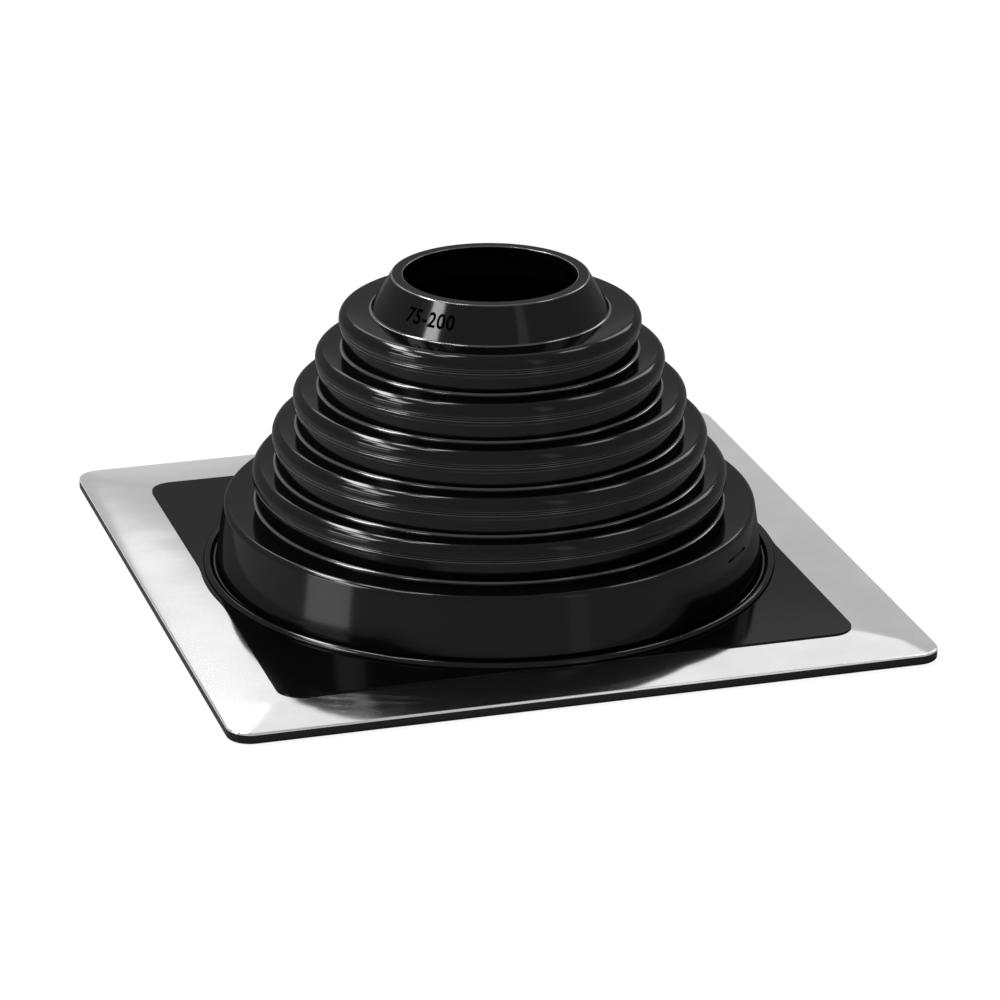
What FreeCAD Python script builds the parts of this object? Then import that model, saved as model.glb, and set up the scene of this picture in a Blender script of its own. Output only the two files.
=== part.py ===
"""Pipe flashing boot: a stepped rubber cone on a square flange with a metal frame.

Frame of the part: origin at the centre of the underside, +Z up along the pipe,
X and Y along the sides of the flange.  Millimetres.

Two pieces, as the real one has:
  rubber_boot       one moulding: flange, raised pad, drum, five tiers and collar
  aluminium_frame   the sheet frame that the moulding grips round its pad
"""
import FreeCAD, Part

import math
import os

# ------------------------------------------------------------ driving dimensions
# flange
flange_side = 300.0
flange_corner_radius = 10.0
flange_edge_thickness = 3.7     # rubber under the outer edge of the frame
edge_bevel = 0.7                # bottom edge of the rubber

# metal frame: a sheet that slopes down to the outside, mitred at its corners
sheet_thickness = 1.0
sheet_edge_bevel = 0.6
sheet_slope_deg = 1.5
grip_width = 3.0                # how far the sheet runs in under the pad

# raised pad between the frame and the drum
strip_width = 27.5              # metal seen between the pad and the flange's side
pad_corner_radius = 10.0
pad_lip = 0.5                   # thin skin of rubber over the sheet
pad_edge_bevel = 0.2
pad_bulge_margin = 1.4          # pad beyond the foot bead, at the middle of a side
pad_blend_radius = 25.0         # from the bulge into the straight side

# sealing channels under the flange
channel_count = 2
channel_width = 2.6
channel_depth = 1.3
channel_spacing = 6.0
channel_edge_distance = 8.0     # from the flange's side to the first channel

# drum
drum_height = 33.5              # underside of the flange to the ledge on top
drum_top_radius = 113.4
drum_foot_radius = 117.6
drum_wall = 3.0                 # at its thinnest
drum_shoulder_radius = 2.4
foot_gap = 0.9                  # groove between the drum and the foot bead
foot_bead_radius = 2.1          # of its round section

# tiers, from the lowest to the highest: outer radius of each bead
tier_bead_radii = (101.2, 92.6, 83.5, 74.0, 63.9)
tier_pitch = 17.0               # ledge to ledge
tier_wall = 2.4
ledge_thickness = 2.6
shoulder_radius = 4.2           # large rounding at the outside of a ledge
bead_height = 6.0               # ledge down to the bottom of the bead
groove_height = 1.5             # V groove between the bead and the lip
groove_depth = 1.4
lip_height = 1.7
lip_inset = 0.6                 # the lip stands back from the bead
wall_inset = 1.5                # the wall stands back from the bead

# collar: a short cone with a flat lip that seals on the pipe
collar_foot_radius = 50.4
collar_height = 15.0
collar_top_radius = 41.7
collar_wall = 3.0
collar_edge_bevel = 0.7
bore_radius = 36.8
bore_length = 4.0

# ------------------------------------------------------------ worked-out sizes
frame_outer_z = flange_edge_thickness + sheet_thickness
pad_half = flange_side / 2 - strip_width
grip_half = pad_half - grip_width
sheet_rise = math.tan(math.radians(sheet_slope_deg)) * (flange_side / 2 - grip_half)
frame_inner_z = frame_outer_z + sheet_rise
pad_z = frame_inner_z + pad_lip
foot_bead_centre_radius = drum_foot_radius + foot_gap + foot_bead_radius
pad_bulge_radius = foot_bead_centre_radius + foot_bead_radius + pad_bulge_margin
tier_count = len(tier_bead_radii)
collar_foot_z = drum_height + tier_count * tier_pitch
top_z = collar_foot_z + collar_height
collar_taper = (collar_foot_radius - collar_top_radius) / collar_height

ROUNDING_FLATS = 2              # facets of a quarter round, which keep the solid light
FIT_OVERRUN = 10.0              # cutting tools run past the faces that they cut


# ------------------------------------------------------------ helpers
class Section:
    """A path in the half-plane of the axis, made of straight runs and roundings."""

    def __init__(self, radius, height):
        self.points = [FreeCAD.Vector(radius, 0, height)]

    def line(self, radius, height):
        self.points.append(FreeCAD.Vector(radius, 0, height))

    def rounding(self, centre_radius, centre_height, start_deg, end_deg, size):
        """A round of this size about a centre, from one angle to another, in equal flats.
        Angles count from the outward direction towards +Z."""
        flats = max(1, round(abs(end_deg - start_deg) / 90 * ROUNDING_FLATS))
        for index in range(flats + 1):
            angle = math.radians(start_deg + (end_deg - start_deg) * index / flats)
            self.line(centre_radius + size * math.cos(angle), centre_height + size * math.sin(angle))

    def revolve(self):
        face = Part.Face(Part.makePolygon(self.points + self.points[:1]))
        return face.revolve(FreeCAD.Vector(0, 0, 0), FreeCAD.Vector(0, 0, 1), 360)


def rounded_square(half, corner_radius, height):
    """A closed wire: a square with round corners, centred on the axis."""
    edges = []
    straight = half - corner_radius
    for turn in range(4):
        start = FreeCAD.Vector(half, -straight, height)
        end = FreeCAD.Vector(half, straight, height)
        corner = FreeCAD.Vector(straight, straight, height)
        middle = corner + FreeCAD.Vector(1, 1, 0).normalize() * corner_radius
        side = Part.LineSegment(start, end).toShape()
        bend = Part.Arc(end, middle, FreeCAD.Vector(straight, half, height)).toShape()
        for edge in (side, bend):
            edge.rotate(FreeCAD.Vector(0, 0, 0), FreeCAD.Vector(0, 0, 1), 90 * turn)
            edges.append(edge)
    return Part.Wire(edges)


def pad_outline(inset, height):
    """The pad's outline, or one inside it: a rounded square whose sides swell
    round the foot bead, with a soft blend on each side of the swelling."""
    half = pad_half - inset
    bulge = pad_bulge_radius - inset
    blend = pad_blend_radius + inset
    corner = pad_corner_radius - inset
    if bulge <= half:
        return rounded_square(half, corner, height)
    blend_centre = FreeCAD.Vector(half + blend, math.sqrt((bulge + blend) ** 2 - (half + blend) ** 2), height)
    straight = half - corner
    towards_axis = FreeCAD.Vector(-blend_centre.x, -blend_centre.y, 0).normalize()
    on_bulge = blend_centre + towards_axis * blend
    on_side = FreeCAD.Vector(half, blend_centre.y, height)
    blend_middle = towards_axis + FreeCAD.Vector(-1, 0, 0)
    blend_middle = blend_centre + blend_middle.normalize() * blend
    corner_centre = FreeCAD.Vector(straight, straight, height)
    corner_middle = corner_centre + FreeCAD.Vector(1, 1, 0).normalize() * corner

    def mirrored(point):
        return FreeCAD.Vector(point.x, -point.y, point.z)

    run_end = FreeCAD.Vector(half, straight, height)
    side = [
        Part.LineSegment(mirrored(run_end), mirrored(on_side)),
        Part.Arc(mirrored(on_side), mirrored(blend_middle), mirrored(on_bulge)),
        Part.Arc(mirrored(on_bulge), FreeCAD.Vector(bulge, 0, height), on_bulge),
        Part.Arc(on_bulge, blend_middle, on_side),
        Part.LineSegment(on_side, run_end),
        Part.Arc(run_end, corner_middle, FreeCAD.Vector(straight, half, height)),
    ]
    edges = []
    for turn in range(4):
        for curve in side:
            edge = curve.toShape()
            edge.rotate(FreeCAD.Vector(0, 0, 0), FreeCAD.Vector(0, 0, 1), 90 * turn)
            edges.append(edge)
    return Part.Wire(edges)


def prism(wire, height):
    return Part.Face(wire).extrude(FreeCAD.Vector(0, 0, height))


def edges_at(solid, height):
    """Edges of a solid that lie wholly at one height."""
    return [edge for edge in solid.Edges
            if abs(edge.BoundBox.ZMin - height) < 1e-4 and abs(edge.BoundBox.ZMax - height) < 1e-4]


# ------------------------------------------------------------ flange
def flange_hill(outer_z):
    """The flange as a block whose top slopes up from its outer edge to the pad,
    with straight mitres at the corners."""
    half = flange_side / 2
    inner_z = outer_z + sheet_rise
    profile = Part.makePolygon([FreeCAD.Vector(-half, y, z) for y, z in (
        (-half, 0), (half, 0), (half, outer_z), (grip_half, inner_z),
        (-grip_half, inner_z), (-half, outer_z), (-half, 0))])
    along_x = Part.Face(profile).extrude(FreeCAD.Vector(flange_side, 0, 0))
    along_y = along_x.copy()
    along_y.rotate(FreeCAD.Vector(0, 0, 0), FreeCAD.Vector(0, 0, 1), 90)
    outline = prism(rounded_square(half, flange_corner_radius, 0), inner_z + FIT_OVERRUN)
    return along_x.common(along_y).common(outline)


def make_frame():
    """The sheet between two such hills, open inside the pad's outline."""
    over = flange_hill(frame_outer_z)
    over = over.makeChamfer(sheet_edge_bevel, top_rim_edges(over))
    under = flange_hill(flange_edge_thickness)
    opening = prism(pad_outline(grip_width, -FIT_OVERRUN), frame_inner_z + 2 * FIT_OVERRUN)
    return over.cut(under).cut(opening)


def top_rim_edges(hill):
    """The edges where the sloping top of a hill meets its upright sides."""
    def on_side(face):
        return abs(face.normalAt(*[sum(face.ParameterRange[i:i + 2]) / 2 for i in (0, 2)]).z) < 1e-6

    rim = []
    for edge in hill.Edges:
        if edge.BoundBox.ZMin > 1e-3:
            sides = [on_side(face) for face in hill.ancestorsOfType(edge, Part.Face)]
            if True in sides and False in sides:
                rim.append(edge)
    return rim


def sealing_channels():
    """Square rings cut into the underside, round the edge of the flange."""
    cutters = []
    for index in range(channel_count):
        outer = flange_side / 2 - channel_edge_distance - index * channel_spacing
        corner = max(flange_corner_radius - index, channel_width + 1)
        ring = prism(rounded_square(outer, corner, -FIT_OVERRUN), FIT_OVERRUN + channel_depth)
        core = prism(rounded_square(outer - channel_width, corner - channel_width, -FIT_OVERRUN),
                     FIT_OVERRUN + channel_depth)
        cutters.append(ring.cut(core))
    return cutters


# ------------------------------------------------------------ stepped cone
def tier_rims():
    """(ledge height, bead radius) of each tier, from the highest to the lowest."""
    return [(drum_height + (index + 1) * tier_pitch, tier_bead_radii[index])
            for index in reversed(range(tier_count))]


def outside():
    """The boot's outer form as a solid of revolution, from the collar to the foot."""
    path = Section(0, 0)
    path.line(0, top_z)
    path.line(collar_top_radius - collar_edge_bevel, top_z)
    path.line(collar_top_radius + collar_taper * collar_edge_bevel, top_z - collar_edge_bevel)
    above = collar_foot_radius
    for ledge, bead in tier_rims():
        path.line(above, ledge)
        path.rounding(bead - shoulder_radius, ledge - shoulder_radius, 90, 0, shoulder_radius)
        bead_foot = ledge - bead_height
        path.line(bead, bead_foot)
        path.line(bead - groove_depth, bead_foot - groove_height / 2)
        lip_top = bead_foot - groove_height
        path.line(bead - lip_inset, lip_top)
        path.line(bead - lip_inset, lip_top - lip_height)
        above = bead - wall_inset
        path.line(above, lip_top - lip_height)
    path.line(above, drum_height)
    lean = math.atan2(drum_foot_radius - drum_top_radius, drum_height - pad_z)
    setback = drum_shoulder_radius * math.tan((math.pi / 2 - lean) / 2)
    path.rounding(drum_top_radius - setback, drum_height - drum_shoulder_radius,
                  90, math.degrees(lean), drum_shoulder_radius)
    path.line(drum_foot_radius, pad_z)
    path.line(drum_foot_radius, 0)
    return path.revolve()


def foot_bead():
    """The round ring that lies on the pad round the drum, with its lower half in the pad."""
    path = Section(foot_bead_centre_radius + foot_bead_radius, frame_inner_z)
    path.rounding(foot_bead_centre_radius, pad_z, 0, 180, foot_bead_radius)
    path.line(foot_bead_centre_radius - foot_bead_radius, frame_inner_z)
    return path.revolve()


def inside():
    """The hollow: one bore for each tier, the collar's cone and the lip's bore."""
    path = Section(0, -FIT_OVERRUN)
    path.line(0, top_z + FIT_OVERRUN)
    path.line(bore_radius, top_z + FIT_OVERRUN)
    path.line(bore_radius, top_z - bore_length)
    path.line(collar_top_radius - collar_wall + collar_taper * bore_length, top_z - bore_length)
    ceiling = collar_foot_z - ledge_thickness
    path.line(collar_foot_radius - collar_wall + collar_taper * ledge_thickness, ceiling)
    for ledge, bead in tier_rims():
        bore = bead - wall_inset - tier_wall
        path.line(bore, ledge - ledge_thickness)
        path.line(bore, ledge - tier_pitch - ledge_thickness)
    mouth = min(drum_top_radius, drum_foot_radius) - drum_wall
    path.line(mouth, drum_height - ledge_thickness)
    path.line(mouth, -FIT_OVERRUN)
    return path.revolve()


def make_boot(frame):
    """Flange, pad and stepped cone in one moulding, with the slot that holds the sheet."""
    base = flange_hill(flange_edge_thickness)
    base = base.makeChamfer(edge_bevel, edges_at(base, 0))
    pad = prism(pad_outline(0, 0), pad_z)
    pad = pad.makeChamfer(pad_edge_bevel, edges_at(pad, pad_z))
    boot = base.fuse([pad, outside(), foot_bead()])
    return boot.cut([frame, inside()] + sealing_channels()).removeSplitter()


# ------------------------------------------------------------ build
def main():
    os.makedirs("parts", exist_ok=True)
    frame = make_frame()
    pieces = {"rubber_boot": make_boot(frame), "aluminium_frame": frame}
    for name, shape in pieces.items():
        if len(shape.Solids) != 1:
            raise RuntimeError("%s has %d solids" % (name, len(shape.Solids)))
        solid = shape.Solids[0]
        if not solid.isValid():
            raise RuntimeError("%s isn't a valid solid" % name)
        solid.exportStep("parts/%s.step" % name)
        box = solid.BoundBox
        print("%-16s %8.1f cm3  x %.1f..%.1f  y %.1f..%.1f  z %.2f..%.2f" % (
            name, solid.Volume / 1000, box.XMin, box.XMax, box.YMin, box.YMax, box.ZMin, box.ZMax))


main()
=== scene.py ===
import math

import bpy
from mathutils import Matrix, Vector


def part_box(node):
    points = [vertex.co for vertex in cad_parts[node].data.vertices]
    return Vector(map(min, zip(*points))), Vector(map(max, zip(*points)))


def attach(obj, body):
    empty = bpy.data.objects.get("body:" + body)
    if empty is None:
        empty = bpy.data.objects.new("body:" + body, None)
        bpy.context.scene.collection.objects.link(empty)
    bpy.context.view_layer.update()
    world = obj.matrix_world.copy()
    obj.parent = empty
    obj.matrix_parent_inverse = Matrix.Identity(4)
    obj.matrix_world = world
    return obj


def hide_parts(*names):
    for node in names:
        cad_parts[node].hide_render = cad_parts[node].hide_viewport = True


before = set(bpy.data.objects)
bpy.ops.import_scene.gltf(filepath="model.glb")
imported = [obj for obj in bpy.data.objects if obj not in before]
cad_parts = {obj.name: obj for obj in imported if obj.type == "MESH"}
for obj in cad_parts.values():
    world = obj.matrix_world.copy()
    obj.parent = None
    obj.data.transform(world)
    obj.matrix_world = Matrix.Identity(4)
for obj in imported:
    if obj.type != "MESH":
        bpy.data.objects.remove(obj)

bl_info = {
    "name": "Pipe Flashing Boot",
    "version": (1, 0, 0),
    "blender": (4, 5, 0),
    "location": "3D View > Sidebar > Flashing Boot",
    "description": "Builds the rubber boot, its metal frame, its moulded marks and a plain studio",
    "category": "Object",
}

# Sizes are in metres, in the frame of the CAD model: +Z up along the pipe,
# the origin at the centre of the flange's underside.
BODY = "root"
BOOT_LOW, BOOT_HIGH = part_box("rubber_boot")
SHEET_LOW, SHEET_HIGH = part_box("aluminium_frame")
FLANGE_HALF = BOOT_HIGH.x
BOOT_TOP = BOOT_HIGH.z


# ------------------------------------------------------------ sizes and colours
def length(name, default, description):
    return bpy.props.FloatProperty(
        name=name, default=default, description=description, unit="LENGTH", precision=5)


class FlangeSizes(bpy.types.PropertyGroup):
    """The flange, the raised pad and the metal frame between them."""

    corner: length("Flange corner", 0.010, "Corner radius of the flange")
    edge: length("Edge thickness", 0.0037, "Rubber under the outer edge of the frame")
    edge_round: length("Edge rounding", 0.0007, "Rounding of the flange's bottom edge")
    sheet: length("Sheet thickness", 0.001, "Thickness of the metal frame")
    sheet_round: length("Sheet rounding", 0.00055, "Rounding of the metal frame's outer edge")
    slope: bpy.props.FloatProperty(
        name="Sheet slope", default=math.radians(1.5), subtype="ANGLE",
        description="Slope of the metal frame, down to the outside")
    hip: length("Hip softness", 0.004, "Width over which the slopes turn into each other")
    strip: length("Strip width", 0.0275, "Metal seen between the pad and the flange's side")
    pad_corner: length("Pad corner", 0.010, "Corner radius of the raised pad")
    pad_lip: length("Pad lip", 0.0005, "Rubber over the metal frame")
    pad_round: length("Pad rounding", 0.0002, "Rounding of the pad's upper edge")
    grip: length("Grip", 0.003, "How far the sheet runs in under the pad")
    bulge: length("Bulge margin", 0.0014, "Pad beyond the foot bead, at the middle of a side")
    blend: length("Swelling blend", 0.0008, "Softness of the swelling's ends")
    channels: bpy.props.IntProperty(
        name="Sealing channels", default=2, description="Number of square channels in the underside")
    channel_start: length("First channel", 0.008, "From the flange's side to the first channel")
    channel_pitch: length("Channel pitch", 0.006, "From one channel to the next")
    channel_width: length("Channel width", 0.0026, "Width of a sealing channel")
    channel_depth: length("Channel depth", 0.0013, "Depth of a sealing channel")
    channel_turn: length("Channel corner step", 0.001, "How much tighter the next channel turns")
    least_corner: length("Least corner", 0.001, "Smallest corner radius of a channel")


class ConeSizes(bpy.types.PropertyGroup):
    """The drum, the five tiers and the collar."""

    drum_height: length("Drum height", 0.0335, "Underside of the flange to the drum's ledge")
    drum_top: length("Drum top radius", 0.1134, "Outer radius at the drum's ledge")
    drum_foot: length("Drum foot radius", 0.1176, "Outer radius where the drum meets the pad")
    drum_wall: length("Drum wall", 0.003, "Wall of the drum at its thinnest")
    drum_round: length("Drum rounding", 0.0024, "Rounding of the drum's upper edge")
    bead_gap: length("Foot bead gap", 0.0009, "Groove between the drum and its foot bead")
    bead_size: length("Foot bead size", 0.0021, "Radius of the foot bead's round section")
    foot_round: length("Foot fillet", 0.0003, "Fillets where drum and foot bead meet the pad")
    gap_round: length("Gap fillet", 0.0002, "Fillet inside the groove beside the foot bead")
    beads: bpy.props.FloatVectorProperty(
        name="Tier bead radii", size=5, default=(0.1012, 0.0926, 0.0835, 0.0740, 0.0639),
        description="Outer radius of each tier's bead, from the lowest up", unit="LENGTH")
    pitch: length("Tier pitch", 0.017, "Height from ledge to ledge")
    tier_wall: length("Tier wall", 0.0024, "Wall of a tier")
    ledge: length("Ledge thickness", 0.0026, "Thickness of a ledge")
    crease: length("Crease", 0.0010, "Fillet where a wall rises from a ledge")
    shoulder: length("Shoulder", 0.0042, "Rounding at the outside of a ledge")
    bead_height: length("Bead height", 0.0060, "Ledge to the bottom of the bead")
    bead_arris: length("Bead arris", 0.0008, "Rounding of the bead's lower edge")
    groove: length("Groove height", 0.0015, "Height of the groove under the bead")
    groove_depth: length("Groove depth", 0.0014, "Depth of the groove from the bead's face")
    lip_height: length("Lip height", 0.0017, "Height of the lip under the groove")
    lip_inset: length("Lip inset", 0.0006, "The lip stands back from the bead")
    lip_round: length("Lip rounding", 0.0003, "Rounding of the lip's edges")
    wall_inset: length("Wall inset", 0.0015, "The wall stands back from the bead")
    collar_foot: length("Collar foot radius", 0.0504, "Outer radius at the foot of the collar")
    collar_top: length("Collar top radius", 0.0417, "Outer radius at the top of the collar")
    collar_wall: length("Collar wall", 0.003, "Wall of the collar")
    collar_round: length("Collar rounding", 0.0007, "Rounding of the collar's upper edge")
    bore: length("Bore radius", 0.0368, "Radius of the sealing lip's hole")
    bore_length: length("Bore length", 0.004, "Thickness of the sealing lip")
    inner_round: length("Inner fillet", 0.0010, "Fillets inside the hollow")


class MarkSizes(bpy.types.PropertyGroup):
    """The small moulded marks on the rubber."""

    figures: bpy.props.StringProperty(
        name="Figures", default="75-200", description="Plain range of pipe sizes, in millimetres")
    figure_height: length("Figure height", 0.0054, "Height of the figures")
    stroke: length("Stroke", 0.00014, "Extra weight of the figures' strokes")
    relief: length("Relief", 0.0003, "How far the marks stand out of the rubber")
    figure_turn: bpy.props.FloatProperty(
        name="Figure turn", default=math.radians(-50), subtype="ANGLE",
        description="Place of the figures round the collar, from the front towards +X")
    dash_turn: bpy.props.FloatProperty(
        name="Dash turn", default=math.radians(48.5), subtype="ANGLE",
        description="Place of the dash round the drum, from the front towards +X")
    dash_height: length("Dash height", 0.0260, "Height of the dash above the underside")
    dash_length: length("Dash length", 0.018, "Length of the dash on the drum")
    dash_width: length("Dash width", 0.0009, "Width of the dash")


class Finishes(bpy.types.PropertyGroup):
    """Colours and surfaces."""

    rubber: bpy.props.FloatVectorProperty(
        name="Rubber", size=3, subtype="COLOR", default=(0.0006, 0.0006, 0.0007), min=0, max=1,
        description="Colour of the rubber")
    # Painted highlight: a lighter colour on the rubber's small roundings stands in for the thin
    # bright lines that light draws along them.
    painted_edge_highlight: bpy.props.FloatVectorProperty(
        name="Painted edge highlight", size=3, subtype="COLOR", default=(0.010, 0.010, 0.0103), min=0, max=1,
        description="Colour of the rubber's small roundings")
    edge_gloss: bpy.props.FloatProperty(
        name="Edge gloss", default=0.35, min=0, max=1,
        description="Weight of sheen that the small roundings have beyond the rest")
    rubber_gloss: bpy.props.FloatProperty(
        name="Rubber gloss", default=0.13, min=0, max=1, description="Weight of the rubber's sheen")
    rubber_roughness: bpy.props.FloatProperty(
        name="Rubber roughness", default=0.11, min=0, max=1, description="Roughness of that sheen")
    metal: bpy.props.FloatVectorProperty(
        name="Metal", size=3, subtype="COLOR", default=(0.44, 0.44, 0.445), min=0, max=1,
        description="Colour of the aluminium sheet")
    metal_roughness: bpy.props.FloatProperty(
        name="Metal roughness", default=0.10, min=0, max=1, description="Roughness of the sheet")
    grain: length("Grain size", 0.00035, "Size of the rubber's fine grain")


class StudioSettings(bpy.types.PropertyGroup):
    """Floor, backdrop, lamps and camera."""

    floor_side: length("Floor side", 12.0, "Side of the square floor")
    lens: bpy.props.FloatProperty(
        name="Lens", default=160.08, description="Focal length in millimetres on a 36 mm sensor")
    distance: length("Camera distance", 1.9056, "From the camera to the point it looks at")
    azimuth: bpy.props.FloatProperty(
        name="Camera azimuth", default=math.radians(-16.933), subtype="ANGLE",
        description="Place of the camera round the part, from the front towards +X")
    elevation: bpy.props.FloatProperty(
        name="Camera elevation", default=math.radians(21.376), subtype="ANGLE",
        description="Height of the camera above the floor as an angle")
    roll: bpy.props.FloatProperty(
        name="Camera roll", default=math.radians(0.33), subtype="ANGLE",
        description="Turn of the picture, anticlockwise")
    aim: bpy.props.FloatVectorProperty(
        name="Camera aim", size=3, subtype="TRANSLATION", unit="LENGTH",
        default=(0.0048, 0.0, BOOT_TOP * 0.231), description="Point at the middle of the picture")
    world_light: bpy.props.FloatProperty(
        name="World light", default=0.2, min=0, description="Strength of the even light")


# ------------------------------------------------------------ node trees
class Wiring:
    """Adds nodes to a tree of any kind and joins them."""

    def __init__(self, tree):
        self.tree = tree

    def feed(self, socket, value):
        if isinstance(value, bpy.types.NodeSocket):
            self.tree.links.new(value, socket)
        else:
            socket.default_value = value

    def node(self, kind, inputs=(), **settings):
        added = self.tree.nodes.new(kind)
        added.location.x = 170 * len(self.tree.nodes)
        for key, value in settings.items():
            setattr(added, key, value)
        for key, value in dict(inputs).items():
            self.feed(added.inputs[key], value)
        return added

    def math(self, operation, *values):
        added = self.node("ShaderNodeMath", operation=operation)
        for socket, value in zip(added.inputs, values):
            self.feed(socket, value)
        return added.outputs[0]

    def times(self, first, second):
        return self.math("MULTIPLY", first, second)

    def plus(self, first, second):
        return self.math("ADD", first, second)

    def minus(self, first, second):
        return self.math("SUBTRACT", first, second)

    def ramp(self, value, low, high, to_low=0.0, to_high=1.0):
        added = self.node("ShaderNodeMapRange", {
            "Value": value, "From Min": low, "From Max": high, "To Min": to_low, "To Max": to_high})
        return added.outputs["Result"]

    def blend_colours(self, factor, first, second):
        added = self.node("ShaderNodeMix", data_type="RGBA")
        for name, value in (("Factor_Float", factor), ("A_Color", first), ("B_Color", second)):
            socket = next(s for s in added.inputs if s.identifier == name)
            self.feed(socket, value)
        return next(s for s in added.outputs if s.identifier == "Result_Color")


def new_group(name, kind, inputs, outputs):
    """A node group with named sockets: (name, socket type, default) and (name, socket type)."""
    group = bpy.data.node_groups.new(name, kind)
    for label, socket_type, default in inputs:
        socket = group.interface.new_socket(label, in_out="INPUT", socket_type=socket_type)
        if default is not None:
            socket.default_value = default
    for label, socket_type in outputs:
        group.interface.new_socket(label, in_out="OUTPUT", socket_type=socket_type)
    wiring = Wiring(group)
    return group, wiring, wiring.node("NodeGroupInput").outputs, wiring.node("NodeGroupOutput").inputs


# ------------------------------------------------------------ closed sections
ROUND_STEP = math.radians(13)       # turn of one facet on the large roundings
SMALL_STEP = math.radians(30)       # and on the small ones
SMALL_ROUND = 0.0012                # largest radius of a small rounding
MOST_ROOM = 0.98                    # share of the shorter side that a rounding may take
HOLD_LOOP = 0.00012                 # a point this far beyond a rounding keeps the flat face flat


class Ring:
    """One corner of a closed section. reach is the distance from the axis to the ring's side and
    corner its corner radius, which is the reach itself on a round ring. A leaning ring follows the
    metal frame's slope, a swelling one is at least that far from the axis all round, an inside
    one belongs to the hollow, and a dull one's rounding gets neither the extra sheen nor the
    painted highlight of the small roundings."""

    def __init__(self, reach, height, rounding=0.0, corner=None, swell=0.0, leans=False,
                 inside=False, dull=False):
        self.place = Vector((reach, height))
        self.rounding = rounding
        self.corner = reach if corner is None else corner
        self.swell = swell
        self.leans = leans
        self.inside = inside
        self.dull = dull


def section_point(ring, place, arris):
    """Values of one point of the section, in the order of SECTION_ATTRIBUTES."""
    inset = ring.place.x - place.x
    corner = place.x if ring.corner == ring.place.x else ring.corner - inset
    swell = ring.swell - inset if ring.swell else 0.0
    return (place.x, place.y, corner, swell, float(ring.leans), arris, float(ring.inside))


def rounded_corner(before, ring, after):
    """Points of one corner of the section. arris is 1 on a small rounding and 0 elsewhere."""
    if not ring.rounding:
        return [section_point(ring, ring.place, 0.0)]
    towards_before = before.place - ring.place
    towards_after = after.place - ring.place
    room = min(towards_before.length, towards_after.length)
    towards_before.normalize()
    towards_after.normalize()
    turn = math.pi - towards_before.angle(towards_after)
    cross = towards_before.x * towards_after.y - towards_before.y * towards_after.x
    side = math.copysign(1.0, cross)
    radius = ring.rounding
    tangent = radius * math.tan(turn / 2)
    if tangent > room * MOST_ROOM:
        tangent = room * MOST_ROOM
        radius = tangent / math.tan(turn / 2)
    small = radius < SMALL_ROUND
    facets = max(2, round(turn / (SMALL_STEP if small else ROUND_STEP)))
    start = ring.place + towards_before * tangent
    centre = start + Vector((-towards_before.y, towards_before.x)) * side * radius
    held = tangent + HOLD_LOOP < room / 2
    points = []
    if held:
        place = ring.place + towards_before * (tangent + HOLD_LOOP)
        points.append(section_point(ring, place, 0.0))
    for index in range(facets + 1):
        spoke = start - centre
        spoke.rotate(Matrix.Rotation(-side * turn * index / facets, 2))
        points.append(section_point(ring, centre + spoke, float(small and not ring.dull)))
    if held:
        place = ring.place + towards_after * (tangent + HOLD_LOOP)
        points.append(section_point(ring, place, 0.0))
    return points


def rounded_section(rings):
    """All points of the closed section, with its corners rounded."""
    points = []
    for before, ring, after in zip(rings[-1:] + rings[:-1], rings, rings[1:] + rings[:1]):
        points += rounded_corner(before, ring, after)
    return points


SECTION_ATTRIBUTES = ("reach", "height", "corner", "swell", "lean", "arris", "inside")


def section_object(name, points):
    """A closed loop of edges that carries the section's values as point attributes."""
    mesh = bpy.data.meshes.new(name)
    count = len(points)
    loop = [(index, (index + 1) % count) for index in range(count)]
    mesh.from_pydata([(point[0], 0, point[1]) for point in points], loop, [])
    for column, attribute in enumerate(SECTION_ATTRIBUTES):
        layer = mesh.attributes.new(attribute, "FLOAT", "POINT")
        layer.data.foreach_set("value", [point[column] for point in points])
    piece = bpy.data.objects.new(name, mesh)
    bpy.context.scene.collection.objects.link(piece)
    return piece


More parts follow.
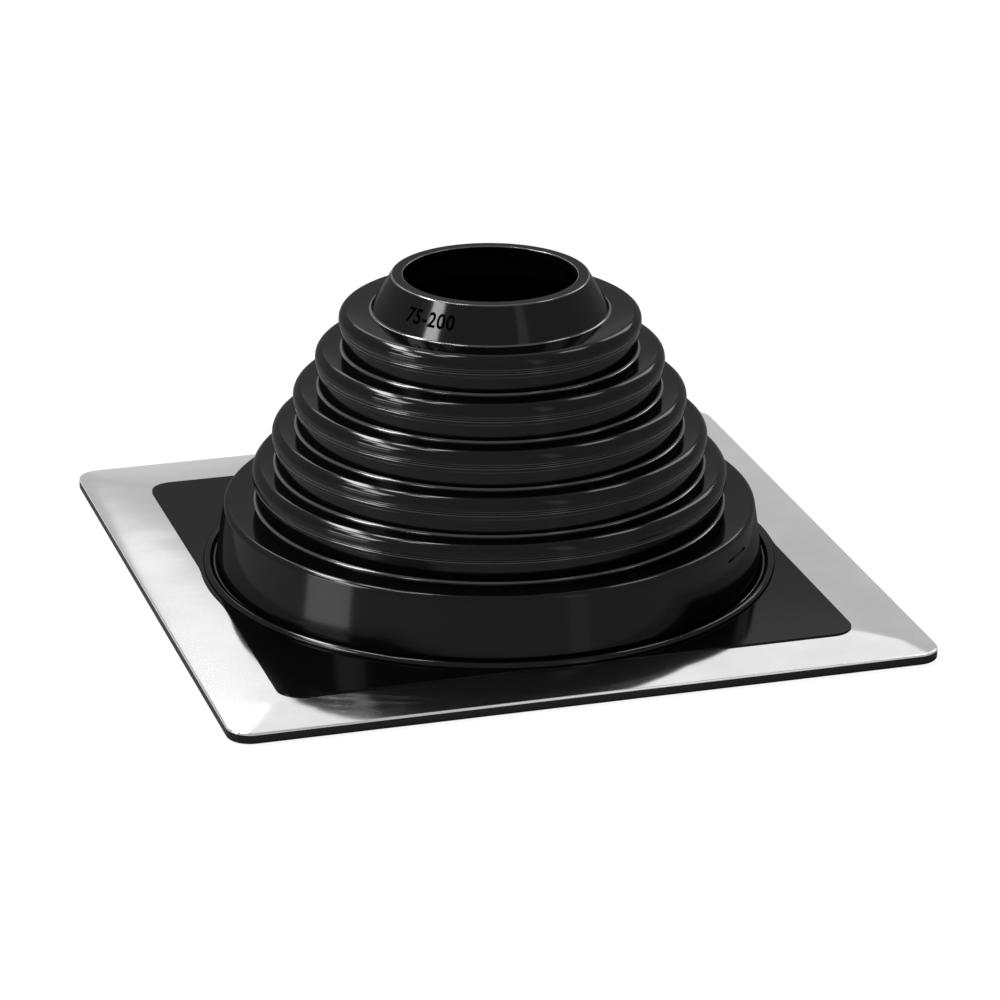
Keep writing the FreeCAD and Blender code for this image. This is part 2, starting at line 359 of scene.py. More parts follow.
def ring_lathe():
    """Sweeps a closed section once round the axis, as a circle, or as a square with round corners
    where a point's corner radius is less than its reach."""
    group, wire, given, result = new_group(
        "Ring lathe", "GeometryNodeTree",
        [("Geometry", "NodeSocketGeometry", None), ("Points per quarter", "NodeSocketInt", 64),
         ("Corner crowding", "NodeSocketFloat", 2.0), ("Slope", "NodeSocketFloat", 0.0),
         ("Flange half", "NodeSocketFloat", 0.15), ("Hip softness", "NodeSocketFloat", 0.004),
         ("Swelling blend", "NodeSocketFloat", 0.0008), ("Sharp angle", "NodeSocketFloat", 0.6),
         ("Material", "NodeSocketMaterial", None)],
        [("Geometry", "NodeSocketGeometry")])
    count = wire.node("GeometryNodeAttributeDomainSize", {"Geometry": given["Geometry"]},
                      component="MESH").outputs["Point Count"]
    quarter = given["Points per quarter"]
    rows = wire.plus(count, 1)
    grid = wire.node("GeometryNodeMeshGrid", {
        "Size X": 1.0, "Size Y": 1.0, "Vertices X": wire.plus(wire.times(quarter, 4), 1),
        "Vertices Y": rows}).outputs["Mesh"]
    index = wire.node("GeometryNodeInputIndex").outputs[0]
    column = wire.math("FLOOR", wire.math("DIVIDE", wire.plus(index, 0.5), rows))
    row = wire.minus(index, wire.times(column, rows))
    source = wire.math("MODULO", row, count)

    def sampled(attribute):
        value = wire.node("GeometryNodeInputNamedAttribute", {"Name": attribute},
                          data_type="FLOAT").outputs["Attribute"]
        sample = wire.node("GeometryNodeSampleIndex", data_type="FLOAT", domain="POINT")
        wire.feed(sample.inputs["Geometry"], given["Geometry"])
        wire.feed(sample.inputs["Value"], value)
        wire.feed(sample.inputs["Index"], source)
        return sample.outputs["Value"]

    reach, height, corner, swell, lean, arris, inside = map(sampled, SECTION_ATTRIBUTES)

    # the turn about the axis, crowded towards the corners of the square
    quadrant = wire.math("FLOOR", wire.math("DIVIDE", wire.plus(column, 0.5), quarter))
    share = wire.math("DIVIDE", wire.minus(column, wire.times(quadrant, quarter)), quarter)
    offset = wire.minus(wire.times(share, 2.0), 1.0)
    crowded = wire.times(wire.math("SIGN", offset),
                         wire.math("POWER", wire.math("ABSOLUTE", offset), given["Corner crowding"]))
    turn = wire.plus(wire.times(quadrant, math.pi / 2),
                     wire.times(wire.plus(crowded, 1.0), math.pi / 4))
    cosine, sine = wire.math("COSINE", turn), wire.math("SINE", turn)
    across, along = wire.math("ABSOLUTE", cosine), wire.math("ABSOLUTE", sine)
    larger, smaller = wire.math("MAXIMUM", across, along), wire.math("MINIMUM", across, along)

    # distance from the axis to a square with round corners
    straight = wire.minus(reach, corner)
    to_side = wire.math("DIVIDE", reach, larger)
    spread = wire.times(straight, wire.minus(larger, smaller))
    under_root = wire.minus(wire.times(corner, corner), wire.times(spread, spread))
    to_corner = wire.plus(wire.times(straight, wire.plus(larger, smaller)),
                          wire.math("SQRT", wire.math("MAXIMUM", under_root, 0.0)))
    on_side = wire.math("LESS_THAN", wire.times(to_side, smaller), straight)
    radius = wire.plus(wire.times(on_side, to_side),
                       wire.times(wire.minus(1.0, on_side), to_corner))
    radius = wire.math("SMOOTH_MAX", radius, swell, given["Swelling blend"])

    x, y = wire.times(radius, cosine), wire.times(radius, sine)
    outermost = wire.math("SMOOTH_MAX", wire.math("ABSOLUTE", x), wire.math("ABSOLUTE", y),
                          given["Hip softness"])
    rise = wire.times(wire.times(lean, given["Slope"]), wire.minus(given["Flange half"], outermost))
    place = wire.node("ShaderNodeCombineXYZ", {"X": x, "Y": y, "Z": wire.plus(height, rise)})
    marked = grid
    for attribute, value in (("arris", arris), ("inside", inside)):
        marked = wire.node("GeometryNodeStoreNamedAttribute", {
            "Geometry": marked, "Name": attribute, "Value": value},
            data_type="FLOAT", domain="POINT").outputs["Geometry"]
    swept = wire.node("GeometryNodeSetPosition", {
        "Geometry": marked, "Position": place.outputs["Vector"]})
    closed = wire.node("GeometryNodeMergeByDistance", {
        "Geometry": swept.outputs["Geometry"], "Distance": 1e-6})
    smooth_faces = wire.node("GeometryNodeSetShadeSmooth", {
        "Geometry": closed.outputs["Geometry"], "Shade Smooth": True}, domain="FACE")
    fold = wire.node("GeometryNodeInputMeshEdgeAngle").outputs["Unsigned Angle"]
    smooth_edges = wire.node("GeometryNodeSetShadeSmooth", {
        "Geometry": smooth_faces.outputs["Geometry"],
        "Shade Smooth": wire.math("LESS_THAN", fold, given["Sharp angle"])}, domain="EDGE")
    real = wire.node("GeometryNodeRealizeInstances", {"Geometry": smooth_edges.outputs["Geometry"]})
    painted = wire.node("GeometryNodeSetMaterial", {
        "Geometry": real.outputs["Geometry"], "Material": given["Material"]})
    wire.feed(result["Geometry"], painted.outputs["Geometry"])
    return group


def plain_mesh(piece):
    """Turns what the modifiers make into the piece's own mesh, with its faces pointing outwards."""
    evaluated = piece.evaluated_get(bpy.context.evaluated_depsgraph_get())
    mesh = bpy.data.meshes.new_from_object(evaluated)
    piece.modifiers.clear()
    mesh.name = piece.name
    piece.data = mesh
    if signed_volume(mesh) < 0:
        mesh.flip_normals()
    return piece


def signed_volume(mesh):
    """Six times the enclosed volume, negative where the faces point inwards."""
    mesh.calc_loop_triangles()
    total = 0.0
    for triangle in mesh.loop_triangles:
        first, second, third = (mesh.vertices[index].co for index in triangle.vertices)
        total += first.dot(second.cross(third))
    return total


def swept_piece(name, rings, material, flange):
    """One closed shell made by the ring lathe from the rings of its section."""
    piece = section_object(name, rounded_section(rings))
    modifier = piece.modifiers.new("Ring lathe", "NODES")
    modifier.node_group = bpy.data.node_groups.get("Ring lathe") or ring_lathe()
    values = {"Slope": math.tan(flange.slope), "Flange half": FLANGE_HALF,
              "Hip softness": flange.hip, "Swelling blend": flange.blend, "Material": material}
    for socket in modifier.node_group.interface.items_tree:
        if socket.item_type == "SOCKET" and socket.name in values:
            modifier[socket.identifier] = values[socket.name]
    return plain_mesh(piece)


def finish_piece(piece):
    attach(piece, BODY)


# ------------------------------------------------------------ shared finishes
WHITE = (1.0, 1.0, 1.0, 1.0)
DUST_ON_RUBBER = (0.3, 0.3, 0.29, 1.0)
DUST_ON_METAL = (0.4, 0.4, 0.39, 1.0)
DUST_SHARE = 0.3                    # share of the cells that hold a speck
CLOUD_TONE = 1.5                    # the rubber where it is cloudy, against its own colour
DULL_TONE = 0.78                    # and the metal
MARK_TONE = 0.5                     # the moulded marks, against the rubber
MARK_ROUGHNESS = 0.6
MATT_ROUGHNESS = 0.5                # the rubber under its sheen
SHEEN_IOR = 1.8
HOLLOW_SHEEN = 0.1                  # sheen in the hollow, as a share of that outside


def shared_group(name, build):
    return bpy.data.node_groups.get(name) or build(name)


def build_cloudiness(name):
    """Slow change of tone over the surface, from 0 to 1."""
    group, wire, given, result = new_group(
        name, "ShaderNodeTree",
        [("Vector", "NodeSocketVector", None), ("Size", "NodeSocketFloat", 0.03),
         ("Contrast", "NodeSocketFloat", 0.5)],
        [("Value", "NodeSocketFloat")])
    noise = wire.node("ShaderNodeTexNoise", {
        "Vector": given["Vector"], "Scale": wire.math("DIVIDE", 1.0, given["Size"]),
        "Detail": 5.0, "Roughness": 0.6})
    spread = wire.times(given["Contrast"], 0.5)
    level = wire.ramp(noise.outputs["Fac"], wire.minus(0.5, spread), wire.plus(0.5, spread))
    wire.feed(result["Value"], level)
    return group


def build_grain(name):
    """Height of a fine pebbled grain, in metres."""
    group, wire, given, result = new_group(
        name, "ShaderNodeTree",
        [("Vector", "NodeSocketVector", None), ("Size", "NodeSocketFloat", 0.0004),
         ("Depth", "NodeSocketFloat", 0.000004)],
        [("Height", "NodeSocketFloat")])
    noise = wire.node("ShaderNodeTexNoise", {
        "Vector": given["Vector"], "Scale": wire.math("DIVIDE", 1.0, given["Size"]),
        "Detail": 2.0, "Roughness": 0.5})
    wire.feed(result["Height"], wire.times(noise.outputs["Fac"], given["Depth"]))
    return group


def build_specks(name):
    """Sparse round specks of dust: a mask that is 1 on a speck."""
    group, wire, given, result = new_group(
        name, "ShaderNodeTree",
        [("Vector", "NodeSocketVector", None), ("Spacing", "NodeSocketFloat", 0.02),
         ("Size", "NodeSocketFloat", 0.0003), ("Share", "NodeSocketFloat", 0.3)],
        [("Mask", "NodeSocketFloat")])
    cells = wire.node("ShaderNodeTexVoronoi", {
        "Vector": given["Vector"], "Scale": wire.math("DIVIDE", 1.0, given["Spacing"])})
    distance = wire.times(cells.outputs["Distance"], given["Spacing"])
    near = wire.ramp(distance, given["Size"], wire.times(given["Size"], 0.5))
    chance = wire.node("ShaderNodeSeparateXYZ", {"Vector": cells.outputs["Color"]}).outputs["X"]
    chosen = wire.math("LESS_THAN", chance, given["Share"])
    wire.feed(result["Mask"], wire.times(near, chosen))
    return group


def place_group(wire, name, build, **inputs):
    values = {key.replace("_", " ").capitalize(): value for key, value in inputs.items()}
    added = wire.node("ShaderNodeGroup", node_tree=shared_group(name, build))
    for key, value in values.items():
        wire.feed(added.inputs[key], value)
    return added.outputs[0]


def toned(colour, share=1.0):
    """The colour times a share, with full opacity."""
    return tuple(value * share for value in colour) + (1.0,)


def new_material(name):
    """A material with one Principled shader, its wiring, and the Object coordinates."""
    material = bpy.data.materials.new(name)
    material.use_nodes = True
    material.node_tree.nodes.clear()
    wire = Wiring(material.node_tree)
    shader = wire.node("ShaderNodeBsdfPrincipled")
    output = wire.node("ShaderNodeOutputMaterial")
    wire.feed(output.inputs["Surface"], shader.outputs["BSDF"])
    coordinates = wire.node("ShaderNodeTexCoord").outputs["Object"]
    return material, wire, shader, coordinates


def rubber_material(finishes):
    """Deep black, with a sheen stronger on the small roundings and weak in the hollow, and a painted
    highlight: a lighter colour on the small roundings outside the hollow.
    """
    material, wire, shader, place = new_material("Moulded rubber")
    clouds = place_group(wire, "Cloudiness", build_cloudiness, vector=place, size=0.035, contrast=0.5)
    dust = place_group(wire, "Dust specks", build_specks, vector=place, spacing=0.016,
                       size=0.00025, share=DUST_SHARE)
    grain = place_group(wire, "Fine grain", build_grain, vector=place, size=finishes.grain,
                        depth=0.000002)
    arris = wire.node("ShaderNodeAttribute", attribute_name="arris").outputs["Fac"]
    inside = wire.node("ShaderNodeAttribute", attribute_name="inside").outputs["Fac"]
    outside = wire.minus(1.0, inside)
    edge = wire.times(arris, outside)
    cloudy = toned(finishes.rubber, CLOUD_TONE)
    colour = wire.blend_colours(wire.times(clouds, 0.5), toned(finishes.rubber), cloudy)
    # painted highlight: the small roundings outside the hollow get a lighter colour in place of the
    # bright lines that light draws along them
    colour = wire.blend_colours(edge, colour, toned(finishes.painted_edge_highlight))
    dusty = wire.times(wire.times(dust, outside), 0.6)
    colour = wire.blend_colours(dusty, colour, DUST_ON_RUBBER)
    wire.feed(shader.inputs["Base Color"], colour)
    gloss = wire.times(wire.ramp(outside, 0.0, 1.0, HOLLOW_SHEEN, 1.0), finishes.rubber_gloss)
    wire.feed(shader.inputs["Coat Weight"], wire.plus(gloss, wire.times(edge, finishes.edge_gloss)))
    shader.inputs["Roughness"].default_value = MATT_ROUGHNESS
    shader.inputs["Specular IOR Level"].default_value = 0.0
    shader.inputs["Coat Roughness"].default_value = finishes.rubber_roughness
    shader.inputs["Coat IOR"].default_value = SHEEN_IOR
    bump = wire.node("ShaderNodeBump", {"Strength": 1.0, "Distance": 1.0, "Height": grain})
    wire.feed(shader.inputs["Normal"], bump.outputs["Normal"])
    return material


def mark_material(finishes):
    """The rubber of the moulded marks, left matt by the tool."""
    material, _, shader, _ = new_material("Matt rubber marks")
    shader.inputs["Base Color"].default_value = toned(finishes.rubber, MARK_TONE)
    shader.inputs["Roughness"].default_value = MARK_ROUGHNESS
    shader.inputs["Specular IOR Level"].default_value = 0.0
    return material


def metal_material(finishes):
    """Bright rolled sheet with a slight unevenness that bends its reflections."""
    material, wire, shader, place = new_material("Bright aluminium sheet")
    clouds = place_group(wire, "Cloudiness", build_cloudiness, vector=place, size=0.05, contrast=0.6)
    dust = place_group(wire, "Dust specks", build_specks, vector=place, spacing=0.02,
                       size=0.0002, share=DUST_SHARE)
    waves = place_group(wire, "Fine grain", build_grain, vector=place, size=0.05, depth=0.00016)
    dull = toned(finishes.metal, DULL_TONE)
    colour = wire.blend_colours(clouds, toned(finishes.metal), dull)
    colour = wire.blend_colours(wire.times(dust, 0.4), colour, DUST_ON_METAL)
    wire.feed(shader.inputs["Base Color"], colour)
    shader.inputs["Metallic"].default_value = 1.0
    rough = wire.plus(finishes.metal_roughness, wire.times(wire.minus(clouds, 0.5), 0.04))
    wire.feed(shader.inputs["Roughness"], wire.plus(rough, wire.times(dust, 0.3)))
    bump = wire.node("ShaderNodeBump", {"Strength": 1.0, "Distance": 1.0, "Height": waves})
    wire.feed(shader.inputs["Normal"], bump.outputs["Normal"])
    return material


# ------------------------------------------------------------ rubber boot
def tier_rings(cone, ledge, bead, above):
    """One tier from the foot of the wall above it to the foot of its own lip."""
    bead_foot = ledge - cone.bead_height
    lip_top = bead_foot - cone.groove
    lip_foot = lip_top - cone.lip_height
    return [
        Ring(above, ledge, cone.crease),
        Ring(bead, ledge, cone.shoulder),
        Ring(bead, bead_foot, cone.bead_arris),
        Ring(bead - cone.groove_depth, bead_foot - cone.groove / 2, cone.lip_round),
        Ring(bead - cone.lip_inset, lip_top, cone.lip_round),
        Ring(bead - cone.lip_inset, lip_foot, cone.lip_round),
        Ring(bead - cone.wall_inset, lip_foot, cone.lip_round),
    ]


def tier_levels(cone):
    """(ledge height, bead radius) of each tier, from the highest to the lowest."""
    return [(cone.drum_height + (index + 1) * cone.pitch, bead)
            for index, bead in reversed(list(enumerate(cone.beads)))]


def outer_rings(cone):
    """Top of the collar down to the groove beside the foot bead."""
    rings = [Ring(cone.bore, BOOT_TOP, cone.collar_round / 2),
             Ring(cone.collar_top, BOOT_TOP, cone.collar_round)]
    above = cone.collar_foot
    for ledge, bead in tier_levels(cone):
        rings += tier_rings(cone, ledge, bead, above)
        above = bead - cone.wall_inset
    rings += [Ring(above, cone.drum_height, cone.crease),
              Ring(cone.drum_top, cone.drum_height, cone.drum_round)]
    return rings


def pad_height(flange):
    rise = math.tan(flange.slope) * (flange.strip + flange.grip)
    return flange.edge + flange.sheet + rise + flange.pad_lip


def pad_outline(cone, flange, inset=0.0):
    """Reach, corner radius and swelling of the pad's outline, or of one inside it."""
    bulge = cone.drum_foot + cone.bead_gap + 2 * cone.bead_size + flange.bulge
    return FLANGE_HALF - flange.strip - inset, flange.pad_corner - inset, bulge - inset


def pad_ring(outline, height, rounding=0.0, leans=False):
    reach, corner, bulge = outline
    return Ring(reach, height, rounding, corner, bulge, leans, dull=True)


def flange_rings(cone, flange):
    """Foot of the drum, foot bead, pad, the slot round the sheet and the flange's edge."""
    pad = pad_height(flange)
    bead_in = cone.drum_foot + cone.bead_gap
    bead_out = bead_in + 2 * cone.bead_size
    outline, slot = pad_outline(cone, flange), pad_outline(cone, flange, flange.grip)
    over, under = flange.edge + flange.sheet, flange.edge
    return [
        Ring(cone.drum_foot, pad, cone.foot_round),
        Ring(bead_in, pad, cone.gap_round),
        Ring(bead_in, pad + cone.bead_size, cone.bead_size),
        Ring(bead_out, pad + cone.bead_size, cone.bead_size),
        Ring(bead_out, pad, cone.foot_round, dull=True),
        pad_ring(outline, pad, flange.pad_round),
        pad_ring(outline, over, leans=True),
        pad_ring(slot, over, leans=True),
        pad_ring(slot, under, leans=True),
        Ring(FLANGE_HALF, under, 0.0, flange.corner, 0.0, True),
        Ring(FLANGE_HALF, 0.0, flange.edge_round, flange.corner, dull=True),
    ]


def channel_rings(flange):
    """The square sealing channels in the underside, from the outermost in."""
    rings = []
    for index in range(flange.channels):
        outer = FLANGE_HALF - flange.channel_start - index * flange.channel_pitch
        inner = outer - flange.channel_width
        corner = max(flange.corner - index * flange.channel_turn,
                     flange.channel_width + flange.least_corner)
        inner_corner = corner - flange.channel_width
        rings += [Ring(outer, 0.0, 0.0, corner), Ring(outer, flange.channel_depth, 0.0, corner),
                  Ring(inner, flange.channel_depth, 0.0, inner_corner),
                  Ring(inner, 0.0, 0.0, inner_corner)]
    return rings


def inner_rings(cone):
    """The hollow, from its mouth in the underside up to the sealing lip."""
    def ring(reach, height, rounding):
        return Ring(reach, height, rounding, inside=True)

    mouth = min(cone.drum_top, cone.drum_foot) - cone.drum_wall
    rings = [ring(mouth, 0.0, cone.inner_round / 3),
             ring(mouth, cone.drum_height - cone.ledge, cone.inner_round)]
    for ledge, bead in reversed(tier_levels(cone)):
        bore = bead - cone.wall_inset - cone.tier_wall
        rings += [ring(bore, ledge - cone.pitch - cone.ledge, cone.inner_round / 2),
                  ring(bore, ledge - cone.ledge, cone.inner_round)]
    collar_foot = tier_levels(cone)[0][0]
    taper = (cone.collar_foot - cone.collar_top) / (BOOT_TOP - collar_foot)
    rings += [
        ring(cone.collar_foot - cone.collar_wall + taper * cone.ledge, collar_foot - cone.ledge,
             cone.inner_round / 2),
        ring(cone.collar_top - cone.collar_wall + taper * cone.bore_length,
             BOOT_TOP - cone.bore_length, cone.inner_round / 2),
        ring(cone.bore, BOOT_TOP - cone.bore_length, cone.collar_round / 2),
    ]
    return rings


class BOOT_OT_rubber(bpy.types.Operator):
    """Make the moulded rubber boot: flange, pad, drum, tiers and collar in one shell"""

    bl_idname = "boot.rubber"
    bl_label = "Rubber Boot"

    def execute(self, context):
        cone, flange = context.scene.boot_cone, context.scene.boot_flange
        rings = outer_rings(cone) + flange_rings(cone, flange)
        rings += channel_rings(flange) + inner_rings(cone)
        rubber = rubber_material(context.scene.boot_finishes)
        piece = swept_piece("moulded_boot", rings, rubber, flange)
        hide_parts("rubber_boot")
        finish_piece(piece)
        return {"FINISHED"}


# ------------------------------------------------------------ metal frame
class BOOT_OT_metal_frame(bpy.types.Operator):
    """Make the bright sheet frame that lies round the pad"""

    bl_idname = "boot.metal_frame"
    bl_label = "Metal Frame"

    def execute(self, context):
        cone, flange = context.scene.boot_cone, context.scene.boot_flange
        slot = pad_outline(cone, flange, flange.grip)
        over, under = flange.edge + flange.sheet, flange.edge
        rings = [
            pad_ring(slot, over, leans=True),
            Ring(FLANGE_HALF, over, flange.sheet_round, flange.corner, leans=True),
            Ring(FLANGE_HALF, under, flange.sheet_round / 3, flange.corner, leans=True),
            pad_ring(slot, under, leans=True),
        ]
        metal = metal_material(context.scene.boot_finishes)
        piece = swept_piece("sheet_frame", rings, metal, flange)
        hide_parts("aluminium_frame")
        finish_piece(piece)
        return {"FINISHED"}


# ------------------------------------------------------------ moulded marks
def on_cone(point, turn, radius, taper, relief):
    """Bends a flat mark round the cone. x runs round it, y up it and z out of it."""
    distance = radius - taper * point.y + relief * point.z
    angle = turn + point.x / radius
    return Vector((distance * math.sin(angle), -distance * math.cos(angle), point.y))


FIGURE_SHARE = 0.70                 # height of a figure in a font of size 1
FIGURE_SPACING = 1.1
DASH_STEPS = 8                      # points on each side and on each round end of the dash


def flat_text(marks):
    """The figures as a mesh in the plane, one unit thick, with their middle at the origin."""
    curve = bpy.data.curves.new("figures", "FONT")
    curve.body = marks.figures
    curve.size = marks.figure_height / FIGURE_SHARE
    curve.space_character = FIGURE_SPACING
    curve.offset = marks.stroke
    curve.extrude = 0.5
    curve.resolution_u = 4
    curve.align_x = "CENTER"
    curve.align_y = "CENTER"
    holder = bpy.data.objects.new("figures", curve)
    bpy.context.scene.collection.objects.link(holder)
    evaluated = holder.evaluated_get(bpy.context.evaluated_depsgraph_get())
    mesh = bpy.data.meshes.new_from_object(evaluated)
    bpy.data.objects.remove(holder)
    return mesh


def link_piece(name, mesh, material):
    mesh.materials.clear()
    mesh.materials.append(material)
    piece = bpy.data.objects.new(name, mesh)
    bpy.context.scene.collection.objects.link(piece)
    return piece


def dash_mesh(name, size, width):
    """A bar with round ends in the plane, one unit thick, divided along its length."""
    straight = (size - width) / 2
    outline = []
    for side in (1, -1):
        for step in range(DASH_STEPS):
            outline.append((side * straight * (2 * step / DASH_STEPS - 1), -side * width / 2))
        for step in range(DASH_STEPS):
            turn = math.pi * step / DASH_STEPS
            outline.append((side * (straight + width / 2 * math.sin(turn)),
                            -side * width / 2 * math.cos(turn)))
    count = len(outline)
    vertices = [(x, y, z) for z in (-0.5, 0.5) for x, y in outline]
    faces = [tuple(reversed(range(count))), tuple(range(count, 2 * count))]
    faces += [(i, (i + 1) % count, count + (i + 1) % count, count + i) for i in range(count)]
    mesh = bpy.data.meshes.new(name)
    mesh.from_pydata(vertices, [], faces)
    return mesh


class BOOT_OT_marks(bpy.types.Operator):
    """Make the plain figures and the dash that stand out of the rubber"""

    bl_idname = "boot.marks"
    bl_label = "Moulded Marks"

    def execute(self, context):
        marks, cone = context.scene.boot_marks, context.scene.boot_cone
        matt = mark_material(context.scene.boot_finishes)
        collar_foot = tier_levels(cone)[0][0]
        taper = (cone.collar_foot - cone.collar_top) / (BOOT_TOP - collar_foot)
        middle = (BOOT_TOP + collar_foot) / 2
        radius = (cone.collar_foot + cone.collar_top) / 2
        drum_rise = cone.drum_height - pad_height(context.scene.boot_flange)
        lean = (cone.drum_foot - cone.drum_top) / drum_rise
        dash_radius = cone.drum_top + lean * (cone.drum_height - marks.dash_height)
        for name, mesh, turn, height, reach, slope in (
                ("size_figures", flat_text(marks), marks.figure_turn, middle, radius, taper),
                ("drum_dash", dash_mesh("drum_dash", marks.dash_length, marks.dash_width),
                 marks.dash_turn, marks.dash_height, dash_radius, lean)):
            for vertex in mesh.vertices:
                bent = on_cone(vertex.co, turn, reach, slope, marks.relief)
                vertex.co = bent + Vector((0, 0, height))
            finish_piece(link_piece(name, mesh, matt))
        return {"FINISHED"}


# ------------------------------------------------------------ studio
def direction(azimuth, elevation):
    """Unit vector to a place round the part. Azimuth 0 is the front, and it grows towards +X."""
    return Vector((math.sin(azimuth) * math.cos(elevation), -math.cos(azimuth) * math.cos(elevation),
                   math.sin(elevation)))


LAMP_DISTANCE = 1.6
# Each lamp: name, azimuth from the camera's and elevation in degrees, width and height in metres,
# and brightness against a white surface.
LAMPS = (
    ("low left panel", -67, 6, 0.60, 0.18, 22.0),
    ("left softbox", -63, 30, 0.34, 0.40, 34.0),
    ("upper left softbox", -79, 41, 0.44, 0.20, 40.0),
    ("back left softbox", -118, 54, 0.84, 0.22, 62.0),
    ("upper back left lamp", -120, 65, 0.34, 0.16, 42.0),
    ("high left lamp", -80, 69, 0.28, 0.14, 32.0),
    ("top left lamp", -124, 75, 0.24, 0.13, 48.0),
    ("back right softbox", 116, 58, 0.40, 0.32, 14.0),
    ("low right softbox", 144, 34, 0.42, 0.60, 10.0),
    ("far left softbox", -162, 37, 0.30, 0.45, 8.0),
    ("back softbox", 180, 42.5, 1.00, 1.22, 0.95),
    ("front right strip", 36, 22, 0.24, 1.30, 1.2),
)


def softbox(name, azimuth, elevation, width, height, brightness):
    """A rectangular lamp that faces the part, as bright as a white surface times brightness."""
    lamp = bpy.data.lights.new(name, "AREA")
    lamp.shape = "RECTANGLE"
    lamp.size = width
    lamp.size_y = height
    lamp.energy = brightness * math.pi * width * height
    holder = bpy.data.objects.new(name, lamp)
    towards = direction(math.radians(azimuth), math.radians(elevation))
    holder.location = towards * LAMP_DISTANCE + Vector((0, 0, BOOT_TOP / 2))
    holder.rotation_euler = towards.to_track_quat("Z", "Y").to_euler()
    holder.visible_camera = False
    bpy.context.scene.collection.objects.link(holder)


def ray_shares(wire):
    """1 for what the camera sees directly, and 1 for what it sees in a mirror or through glass."""
    rays = wire.node("ShaderNodeLightPath").outputs
    mirrored = wire.plus(rays["Is Glossy Ray"], rays["Is Transmission Ray"])
    return rays["Is Camera Ray"], wire.math("MINIMUM", mirrored, 1.0)


def white_world(studio):
    """White where it is seen, directly or mirrored, and a weak even light otherwise."""
    world = bpy.data.worlds.new("White studio")
    world.use_nodes = True
    world.node_tree.nodes.clear()
    wire = Wiring(world.node_tree)
    direct, mirrored = ray_shares(wire)
    seen = wire.math("MINIMUM", wire.plus(direct, mirrored), 1.0)
    strength = wire.ramp(seen, 0.0, 1.0, studio.world_light, 1.0)
    background = wire.node("ShaderNodeBackground", {"Color": WHITE, "Strength": strength})
    output = wire.node("ShaderNodeOutputWorld")
    wire.feed(output.inputs["Surface"], background.outputs["Background"])
    return world


FLOOR_COLOUR = (0.5, 0.5, 0.5, 1.0)
FLOOR_ROUGHNESS = 0.15
GLOW_SEEN = 0.9                     # share of plain white in the floor as the camera sees it
GLOW_MIRRORED = 0.3                 # and as the part mirrors it


def floor_material():
    """A satin white floor that keeps a faint shadow."""
    material = bpy.data.materials.new("Pale floor")
    material.use_nodes = True
    material.node_tree.nodes.clear()
    wire = Wiring(material.node_tree)
    matt = wire.node("ShaderNodeBsdfDiffuse", {"Color": FLOOR_COLOUR})
    sheen = wire.node("ShaderNodeBsdfGlossy", {"Color": WHITE, "Roughness": FLOOR_ROUGHNESS})
    satin = wire.node("ShaderNodeMixShader", {"Fac": wire.node("ShaderNodeFresnel").outputs[0]})
    wire.feed(satin.inputs[1], matt.outputs["BSDF"])
    wire.feed(satin.inputs[2], sheen.outputs["BSDF"])
    glow = wire.node("ShaderNodeEmission", {"Color": WHITE, "Strength": 1.0})
    direct, mirrored = ray_shares(wire)
    share = wire.plus(wire.times(direct, GLOW_SEEN), wire.times(mirrored, GLOW_MIRRORED))
    mix = wire.node("ShaderNodeMixShader", {"Fac": share})
    wire.feed(mix.inputs[1], satin.outputs["Shader"])
    wire.feed(mix.inputs[2], glow.outputs["Emission"])
    output = wire.node("ShaderNodeOutputMaterial")
    wire.feed(output.inputs["Surface"], mix.outputs["Shader"])
    return material


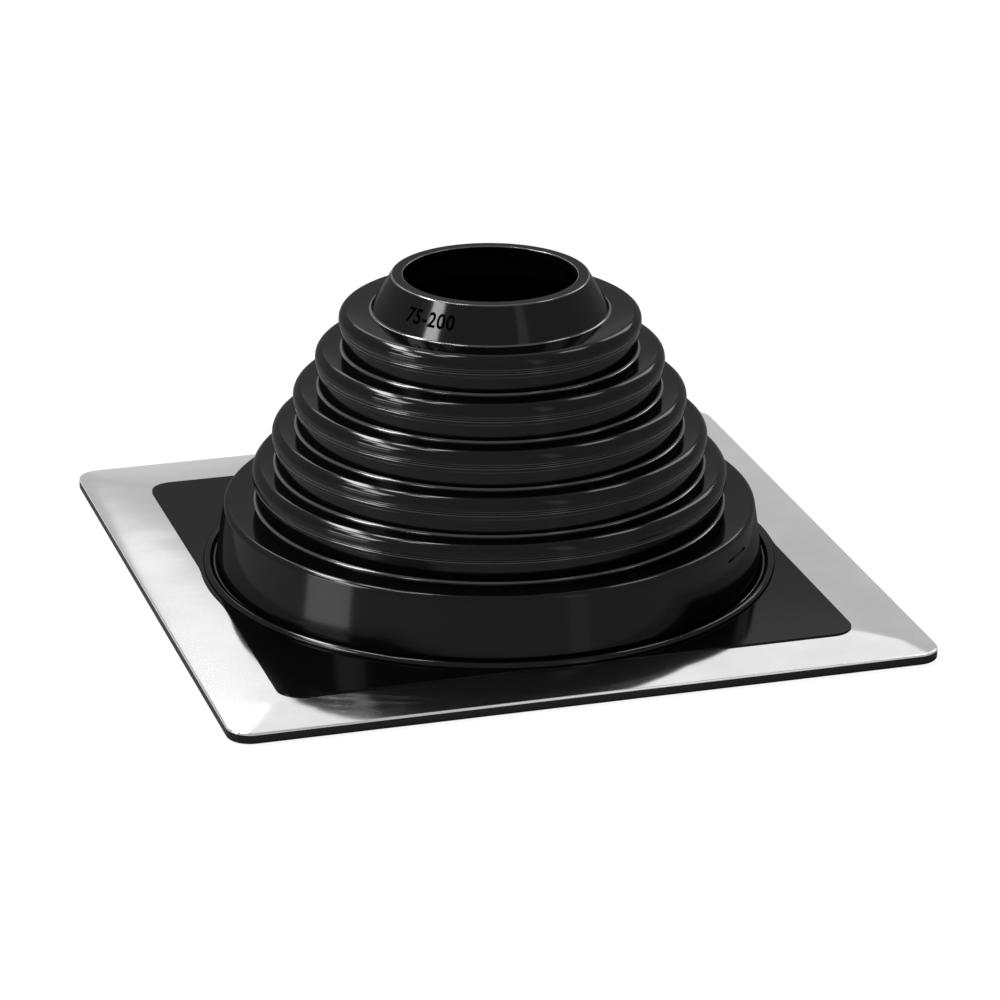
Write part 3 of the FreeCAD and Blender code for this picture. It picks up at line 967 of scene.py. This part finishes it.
class BOOT_OT_studio(bpy.types.Operator):
    """Make the floor, the lamps and the camera"""

    bl_idname = "boot.studio"
    bl_label = "Studio"

    def execute(self, context):
        studio = context.scene.boot_studio
        half = studio.floor_side / 2
        mesh = bpy.data.meshes.new("floor")
        mesh.from_pydata([(-half, -half, 0), (half, -half, 0), (half, half, 0), (-half, half, 0)],
                         [], [(0, 1, 2, 3)])
        floor = link_piece("floor", mesh, floor_material())
        context.scene.world = white_world(studio)
        front = math.degrees(studio.azimuth)
        for name, azimuth, *rest in LAMPS:
            softbox(name, front + azimuth, *rest)
        aim = Vector(studio.aim)
        camera = bpy.data.cameras.new("camera")
        camera.lens = studio.lens
        camera.sensor_width = 36.0
        camera.clip_end = 100.0
        holder = bpy.data.objects.new("camera", camera)
        towards = direction(studio.azimuth, studio.elevation)
        holder.location = aim + towards * studio.distance
        turned = towards.to_track_quat("Z", "Y").to_matrix() @ Matrix.Rotation(studio.roll, 3, "Z")
        holder.rotation_euler = turned.to_euler()
        context.scene.collection.objects.link(holder)
        context.scene.camera = holder
        context.scene.view_settings.view_transform = "Standard"
        return {"FINISHED"}


# ------------------------------------------------------------ panel and registration
class BOOT_PT_panel(bpy.types.Panel):
    bl_idname = "BOOT_PT_panel"
    bl_label = "Flashing Boot"
    bl_space_type = "VIEW_3D"
    bl_region_type = "UI"
    bl_category = "Flashing Boot"

    def draw(self, context):
        for operator in OPERATORS:
            self.layout.operator(operator.bl_idname)
        for name in SETTINGS:
            group = getattr(context.scene, name)
            column = self.layout.column()
            column.label(text=group.bl_rna.description)
            for key in group.bl_rna.properties.keys():
                if key not in ("rna_type", "name"):
                    column.prop(group, key)


SETTINGS = {
    "boot_flange": FlangeSizes,
    "boot_cone": ConeSizes,
    "boot_marks": MarkSizes,
    "boot_finishes": Finishes,
    "boot_studio": StudioSettings,
}
OPERATORS = (BOOT_OT_rubber, BOOT_OT_metal_frame, BOOT_OT_marks, BOOT_OT_studio)


def register():
    for group in SETTINGS.values():
        bpy.utils.register_class(group)
    for name, group in SETTINGS.items():
        setattr(bpy.types.Scene, name, bpy.props.PointerProperty(type=group))
    for operator in OPERATORS:
        bpy.utils.register_class(operator)
    bpy.utils.register_class(BOOT_PT_panel)


def unregister():
    bpy.utils.unregister_class(BOOT_PT_panel)
    for operator in reversed(OPERATORS):
        bpy.utils.unregister_class(operator)
    for name, group in reversed(SETTINGS.items()):
        delattr(bpy.types.Scene, name)
        bpy.utils.unregister_class(group)


def main():
    register()
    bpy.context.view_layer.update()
    bpy.ops.boot.studio()
    bpy.ops.boot.rubber()
    bpy.ops.boot.metal_frame()
    bpy.ops.boot.marks()


if __name__ == "__main__":
    main()
